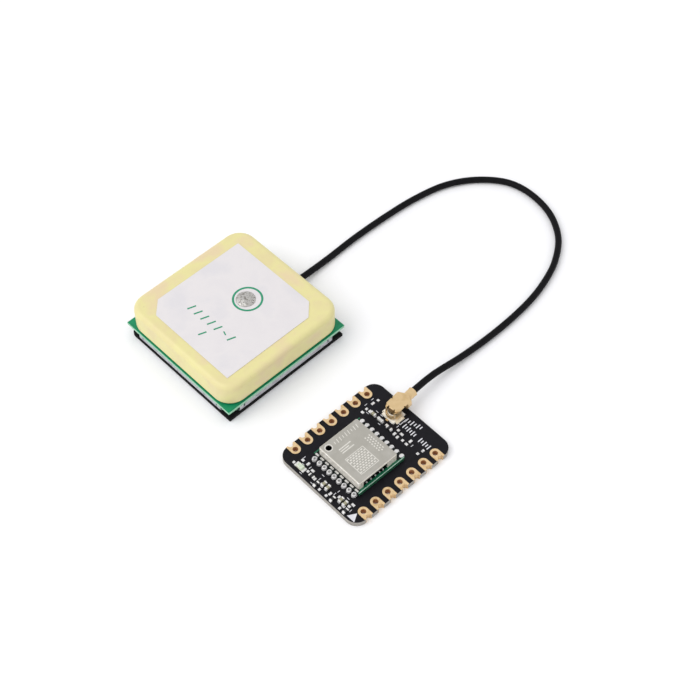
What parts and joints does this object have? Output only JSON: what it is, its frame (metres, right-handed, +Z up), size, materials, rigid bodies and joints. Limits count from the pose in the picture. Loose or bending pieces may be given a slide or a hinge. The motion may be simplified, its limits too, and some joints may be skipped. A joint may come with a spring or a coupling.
{
  "type": "gps module",
  "caption": "Small circuit board with a shielded receiver, castellated edge pads and a coaxial plug, joined by a thin black cable to a square ceramic patch antenna in a shallow metal base.",
  "frame": {"origin": "middle of the carrier board's two pad rows, on the board's underside", "axes": "+X along the pad rows towards the coaxial connector, +Y from the board towards the antenna, +Z up from the table to the components' side"},
  "size_m": [0.0711, 0.053, 0.0079],
  "materials": {
    "black_solder_mask": "satin solder mask, blue-black",
    "green_solder_mask": "satin solder mask, blue-green",
    "dark_green_solder_mask": "satin solder mask, dark green",
    "gold_plating": "thin gold plating over copper",
    "tinned_sheet": "bright tinned sheet steel",
    "nickel_silver": "satin nickel silver sheet",
    "solder": "solder, bright and slightly rough",
    "patch_ceramic": "pale yellow sintered ceramic, matt",
    "silver_print": "printed silver, matt",
    "black_foam": "black foam with adhesive, matt",
    "adhesive_tape": "double-sided adhesive tape",
    "black_jacket": "smooth black jacket, semi-gloss",
    "white_dielectric": "white dielectric plastic",
    "cream_moulding": "cream moulded plastic",
    "black_epoxy": "black moulded epoxy, matt",
    "capacitor_ceramic": "grey-green ceramic with tinned ends",
    "resistor_glaze": "black glaze with tinned ends",
    "inductor_ceramic": "grey ceramic with tinned ends",
    "led_body": "cream laminate with tinned ends",
    "led_resin": "cloudy clear resin"
  },
  "bodies": {
    "root": {"amplifier_capacitor_1": "capacitor_ceramic", "amplifier_capacitor_2": "capacitor_ceramic", "amplifier_chip": "black_epoxy", "amplifier_inductor": "inductor_ceramic", "antenna_board": "green_solder_mask", "antenna_can": "tinned_sheet", "antenna_filter": "silver_print", "base_pad": "black_foam", "braid_joint": "solder", "cable_core": "white_dielectric", "capacitor_1": "capacitor_ceramic", "capacitor_2": "capacitor_ceramic", "capacitor_3": "capacitor_ceramic", "capacitor_4": "capacitor_ceramic", "capacitor_5": "capacitor_ceramic", "carrier_board": "black_solder_mask", "ceramic_block": "patch_ceramic", "coax_cable": "black_jacket", "feed_pin": "solder", "inductor": "inductor_ceramic", "led_base": "led_body", "led_lens": "led_resin", "left_pad_1": "gold_plating", "left_pad_2": "gold_plating", "left_pad_3": "gold_plating", "left_pad_4": "gold_plating", "left_pad_5": "gold_plating", "left_pad_6": "gold_plating", "left_pad_7": "gold_plating", "module_board": "dark_green_solder_mask", "module_can": "nickel_silver", "module_filter": "silver_print", "mounting_tape": "adhesive_tape", "oscillator": "tinned_sheet", "patch_electrode": "silver_print", "plug_contact": "gold_plating", "plug_insulator": "white_dielectric", "plug_shell": "gold_plating", "receiver_chip": "black_epoxy", "resistor_1": "resistor_glaze", "resistor_2": "resistor_glaze", "resistor_3": "resistor_glaze", "resistor_4": "resistor_glaze", "resistor_5": "resistor_glaze", "right_pad_1": "gold_plating", "right_pad_2": "gold_plating", "right_pad_3": "gold_plating", "right_pad_4": "gold_plating", "right_pad_5": "gold_plating", "right_pad_6": "gold_plating", "right_pad_7": "gold_plating", "socket_base": "cream_moulding", "socket_pin": "gold_plating", "socket_ring": "gold_plating"}
  },
  "joints": []
}
